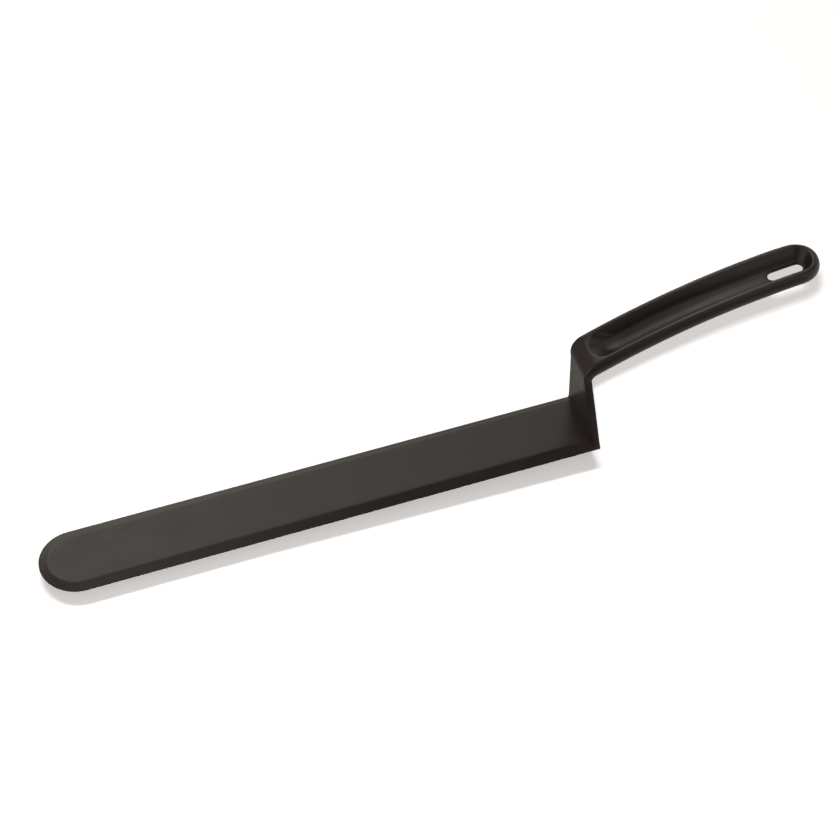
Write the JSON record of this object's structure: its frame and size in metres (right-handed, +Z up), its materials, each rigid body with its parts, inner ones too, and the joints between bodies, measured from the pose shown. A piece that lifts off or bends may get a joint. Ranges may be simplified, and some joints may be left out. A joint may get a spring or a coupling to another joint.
{
  "type": "offset spatula",
  "caption": "Long cranked kitchen spatula: flat bevelled blade with a round tip, upright riser at the heel and an arched, dished handle with a hanging slot.",
  "frame": {"origin": "middle of the overall length and width, on the plane that the blade lies on", "axes": "+X from the blade's tip towards the handle, +Y across the blade, +Z up from the blade's flat underside"},
  "size_m": [0.3786, 0.0352, 0.0775],
  "materials": {
    "moulded_plastic": "near-black moulded nylon with a fine satin surface, slightly polished along its edges"
  },
  "bodies": {
    "root": {"blade": "moulded_plastic", "riser": "moulded_plastic", "handle": "moulded_plastic"}
  },
  "joints": []
}
